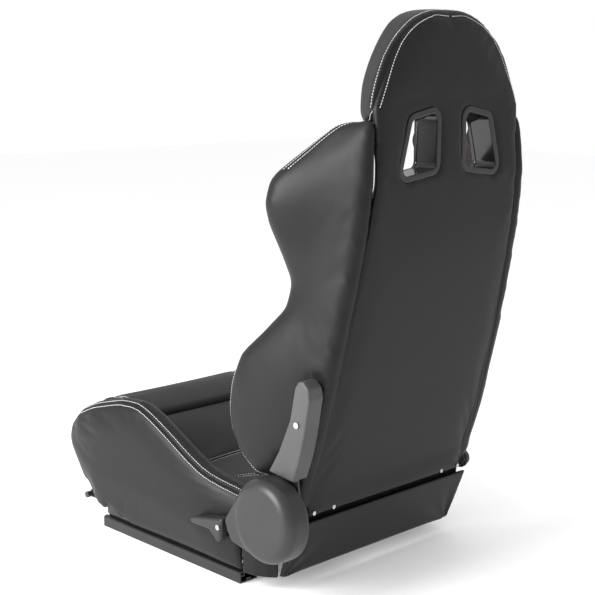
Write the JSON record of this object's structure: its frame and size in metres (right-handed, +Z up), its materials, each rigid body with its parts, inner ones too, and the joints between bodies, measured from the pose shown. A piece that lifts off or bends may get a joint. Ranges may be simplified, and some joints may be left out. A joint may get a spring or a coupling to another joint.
{
  "type": "reclining sports seat on slide rails",
  "caption": "Bucket-style sports seat with side bolsters, harness slots in the head section, lever recliner and a pair of slide rails with floor bolt holes.",
  "frame": {"origin": "middle of the four floor bolt holes, on the underside of the slide rails", "axes": "+Z up; the sitter faces -Y; +X is the sitter's left, the side with the recline lever"},
  "size_m": [0.534, 0.7395, 0.942],
  "materials": {
    "black_pvc": "satin",
    "red_pvc": "satin",
    "rail_paint": "gloss",
    "frame_paint": "satin",
    "zinc": "satin",
    "spring_steel": "satin",
    "cover_plastic": "satin",
    "blade_plastic": "satin",
    "bezel_gloss": "gloss"
  },
  "bodies": {
    "rails": {"lower_track_left": "rail_paint", "lower_track_right": "rail_paint", "track_end_stops": "rail_paint"},
    "roller_carriages": {"roller_cage_left": "spring_steel", "roller_cage_right": "spring_steel", "track_rollers": "zinc"},
    "seat_base": {"upper_track_left": "rail_paint", "upper_track_right": "rail_paint", "base_side_plate_left": "frame_paint", "base_side_plate_right": "frame_paint", "front_cross_tube": "frame_paint", "rear_cross_tube": "frame_paint", "hinge_pins": "zinc", "seat_springs": "spring_steel", "seat_spring_clips": "spring_steel", "track_bolts": "zinc", "cross_tube_bolts": "zinc", "base_bolster_left": "black_pvc", "base_bolster_right": "black_pvc", "cushion": "black_pvc", "thigh_pad": "black_pvc", "rear_skirt": "black_pvc", "skirt_corner_left": "black_pvc", "recliner_cover": "cover_plastic", "recline_spring": "spring_steel", "pawl_pin": "zinc", "release_pivots": "zinc"},
    "backrest": {"sector_plate": "frame_paint", "hinge_arm": "frame_paint", "arm_cover": "blade_plastic", "arm_cover_screw": "zinc", "arm_bolts": "zinc", "arm_sleeves": "frame_paint", "back_hoop": "frame_paint", "back_wires": "spring_steel", "rear_panel": "black_pvc", "back_wing_left": "black_pvc", "back_wing_right": "black_pvc", "wing_insert_left": "red_pvc", "wing_insert_right": "red_pvc", "lumbar_pad": "black_pvc", "back_pad": "black_pvc", "head_pad": "black_pvc", "harness_bezel_rear_left": "bezel_gloss", "harness_bezel_rear_right": "bezel_gloss", "harness_bezel_front_left": "bezel_gloss", "harness_bezel_front_right": "bezel_gloss", "push_pins": "zinc"},
    "recline_lever": {"lever_plate": "frame_paint", "lever_handle": "cover_plastic", "lever_screw": "zinc"},
    "recline_pawl": {"recline_pawl": "frame_paint"},
    "release_bar": {"release_grip": "frame_paint", "release_arm_left": "frame_paint", "release_arm_right": "frame_paint", "slide_latch_left": "frame_paint", "slide_latch_right": "frame_paint"}
  },
  "joints": [
    {"name": "seat_slide", "type": "slide", "parent": "rails", "child": "seat_base", "axis": [0, -1, 0], "range_m": [-0.08, 0.08]},
    {"name": "roller_travel", "type": "slide", "parent": "rails", "child": "roller_carriages", "axis": [0, -1, 0], "range_m": [-0.041, 0.041]},
    {"name": "recline", "type": "hinge", "parent": "seat_base", "child": "backrest", "pos_m": [0, 0.2995, 0.147], "axis": [-1, 0, 0], "range_deg": [-25, 50]},
    {"name": "lever_lift", "type": "hinge", "parent": "seat_base", "child": "recline_lever", "pos_m": [0, 0.2995, 0.147], "axis": [-1, 0, 0], "range_deg": [0, 18], "stiffness_Nm_per_rad": 2, "springref_deg": -17.19},
    {"name": "pawl_turn", "type": "hinge", "parent": "seat_base", "child": "recline_pawl", "pos_m": [0.228, 0.23936, 0.12511], "axis": [-1, 0, 0], "range_deg": [-0.5, 8.5]},
    {"name": "release_lift", "type": "hinge", "parent": "seat_base", "child": "release_bar", "pos_m": [0, -0.12, 0.044], "axis": [-1, 0, 0], "range_deg": [0, 6.5], "stiffness_Nm_per_rad": 6, "springref_deg": -11.46}
  ],
  "couplings": [
    {"joint": "roller_travel", "follows": "seat_slide", "ratio": 0.5},
    {"joint": "pawl_turn", "follows": "lever_lift", "ratio": 0.4444}
  ]
}
